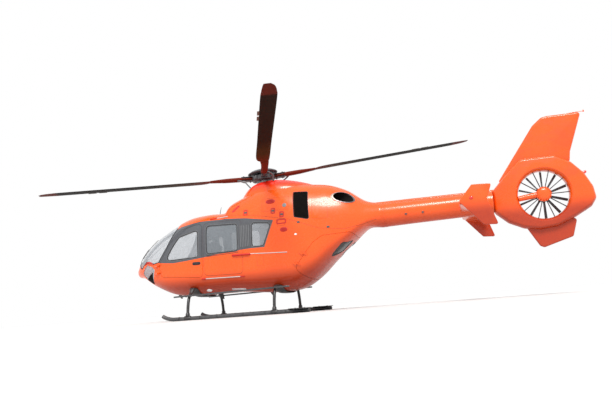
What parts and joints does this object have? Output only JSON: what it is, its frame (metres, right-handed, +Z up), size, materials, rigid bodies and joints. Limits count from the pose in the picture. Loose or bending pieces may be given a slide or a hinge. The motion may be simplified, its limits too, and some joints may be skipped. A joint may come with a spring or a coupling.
{
  "type": "light twin-engine helicopter",
  "caption": "Light twin-engine helicopter on skids with a main rotor, a ducted tail fan, hinged front doors, sliding cabin doors and rear clamshell doors.",
  "frame": {"origin": "on the ground under the middle of the bounding box, on the machine's centre plane; the rotor mast stands 1.15 m ahead of it", "axes": "+Z up, +X to port (the machine's left), +Y aft, so the nose points along -Y"},
  "size_m": [9.5718, 11.8809, 3.845],
  "materials": {
    "paint": "gloss orange-red paint on composite skins",
    "glass": "tinted acrylic glazing",
    "gear_black": "satin black paint",
    "blade": "dark composite",
    "bare_metal": "heat-stained and machined metal",
    "engine": "cast casings",
    "interior": "textured cabin trim",
    "seat": "woven seat cover"
  },
  "bodies": {
    "airframe": {"cabin_shell": "paint", "cabin_floor": "interior", "engine_deck": "interior", "engine_cowling": "paint", "mast_fairing": "paint", "engine_block": "engine", "main_gearbox": "engine", "tail_boom": "paint", "fan_shroud": "paint", "tail_fin": "paint", "ventral_fin": "paint", "fan_stator": "paint", "cross_tube_front": "gear_black", "cross_tube_rear": "gear_black", "instrument_panel": "interior", "rear_bench": "seat", "windshield_left": "glass", "chin_window_left": "glass", "sliding_window_left": "glass", "quarter_window_left": "glass", "sliding_door_left": "paint", "intake_grille_left": "gear_black", "exhaust_left": "bare_metal", "stabiliser_left": "paint", "end_plate_left": "paint", "skid_left": "gear_black", "snow_pad_left": "gear_black", "step_board_left": "gear_black", "front_seat_left": "seat", "windshield_right": "glass", "chin_window_right": "glass", "sliding_window_right": "glass", "quarter_window_right": "glass", "sliding_door_right": "paint", "intake_grille_right": "gear_black", "exhaust_right": "bare_metal", "stabiliser_right": "paint", "end_plate_right": "paint", "skid_right": "gear_black", "snow_pad_right": "gear_black", "step_board_right": "gear_black", "front_seat_right": "seat"},
    "main_rotor": {"rotor_mast": "bare_metal", "rotor_hub": "gear_black", "hub_cap": "gear_black", "main_blade_1": "blade", "main_blade_2": "blade", "main_blade_3": "blade", "main_blade_4": "blade"},
    "tail_fan": {"fan_rotor": "gear_black"},
    "front_door_body_left": {"front_door_left": "paint", "front_door_window_left": "glass"},
    "clamshell_body_left": {"clamshell_door_left": "paint", "clamshell_window_left": "glass"},
    "front_door_body_right": {"front_door_right": "paint", "front_door_window_right": "glass"},
    "clamshell_body_right": {"clamshell_door_right": "paint", "clamshell_window_right": "glass"}
  },
  "joints": [
    {"name": "main_rotor_spin", "type": "hinge", "parent": "airframe", "child": "main_rotor", "pos_m": [0, -1.1495, 3.16], "axis": [0, -0.0872, 0.9962], "continuous": true},
    {"name": "tail_fan_spin", "type": "hinge", "parent": "airframe", "child": "tail_fan", "pos_m": [0, 4.9405, 2.04], "axis": [1, 0, 0], "continuous": true},
    {"name": "front_door_left_hinge", "type": "hinge", "parent": "airframe", "child": "front_door_body_left", "pos_m": [0.666, -3.6395, 1.06], "axis": [0, 0, -1], "range_deg": [0, 80]},
    {"name": "front_door_right_hinge", "type": "hinge", "parent": "airframe", "child": "front_door_body_right", "pos_m": [-0.666, -3.6395, 1.06], "axis": [0, 0, 1], "range_deg": [0, 80]},
    {"name": "clamshell_left_hinge", "type": "hinge", "parent": "airframe", "child": "clamshell_body_left", "pos_m": [0.797, -0.3225, 0.96], "axis": [0.0329, -0.6136, -0.7889], "range_deg": [0, 85]},
    {"name": "clamshell_right_hinge", "type": "hinge", "parent": "airframe", "child": "clamshell_body_right", "pos_m": [-0.797, -0.3225, 0.96], "axis": [0.0329, 0.6136, 0.7889], "range_deg": [0, 85]}
  ]
}
